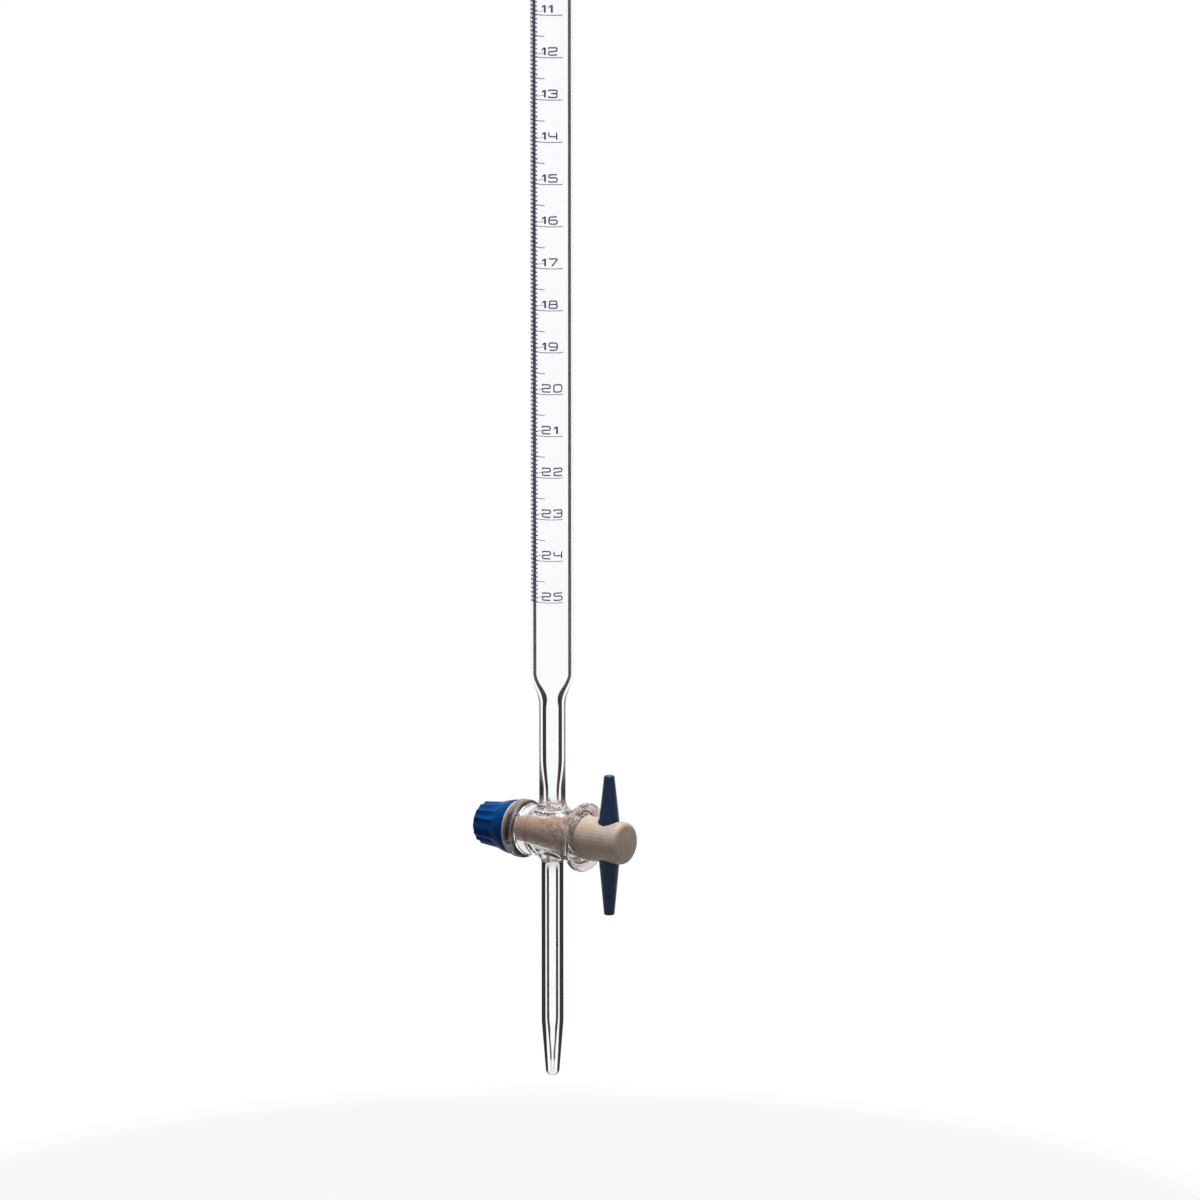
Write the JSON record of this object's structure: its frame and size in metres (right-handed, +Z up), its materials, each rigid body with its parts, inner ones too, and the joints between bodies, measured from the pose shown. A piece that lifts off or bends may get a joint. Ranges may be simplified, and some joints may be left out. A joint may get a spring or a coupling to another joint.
{
  "type": "glass burette",
  "caption": "Straight glass burette with a beaded rim, a long measuring tube, a drawn jet and a tapered plug stopcock with a bar handle and a fluted tension nut.",
  "frame": {"origin": "on the tube's axis where a stand's clamp grips it, 49 mm below the rim", "axes": "+Z up the tube's axis towards the rim, +X along the stopcock's plug towards its handle"},
  "size_m": [0.0527, 0.0208, 0.6044],
  "materials": {
    "borosilicate_glass": "clear, fire-polished",
    "ptfe": "waxy, turned",
    "navy_plastic": "satin moulded",
    "black_rubber": "matt",
    "blue_plastic": "satin moulded"
  },
  "bodies": {
    "glass": {"glass_body": "borosilicate_glass"},
    "key": {"stopcock_plug": "ptfe", "handle_bar": "navy_plastic"},
    "seal": {"ptfe_washer": "ptfe", "o_ring": "black_rubber"},
    "nut": {"tension_nut": "blue_plastic"}
  },
  "joints": [
    {"name": "stopcock_turn", "type": "hinge", "parent": "glass", "child": "key", "pos_m": [0, 0, -0.48124], "axis": [1, 0, 0], "continuous": true},
    {"name": "nut_travel", "type": "slide", "parent": "key", "child": "seal", "axis": [-1, 0, 0], "range_m": [0, 0.00625]},
    {"name": "nut_turn", "type": "hinge", "parent": "seal", "child": "nut", "pos_m": [-0.0134, 0, -0.48124], "axis": [-1, 0, 0], "range_deg": [0, 1800]}
  ],
  "couplings": [
    {"joint": "nut_turn", "follows": "nut_travel", "rad_per_m": 5026.5}
  ]
}
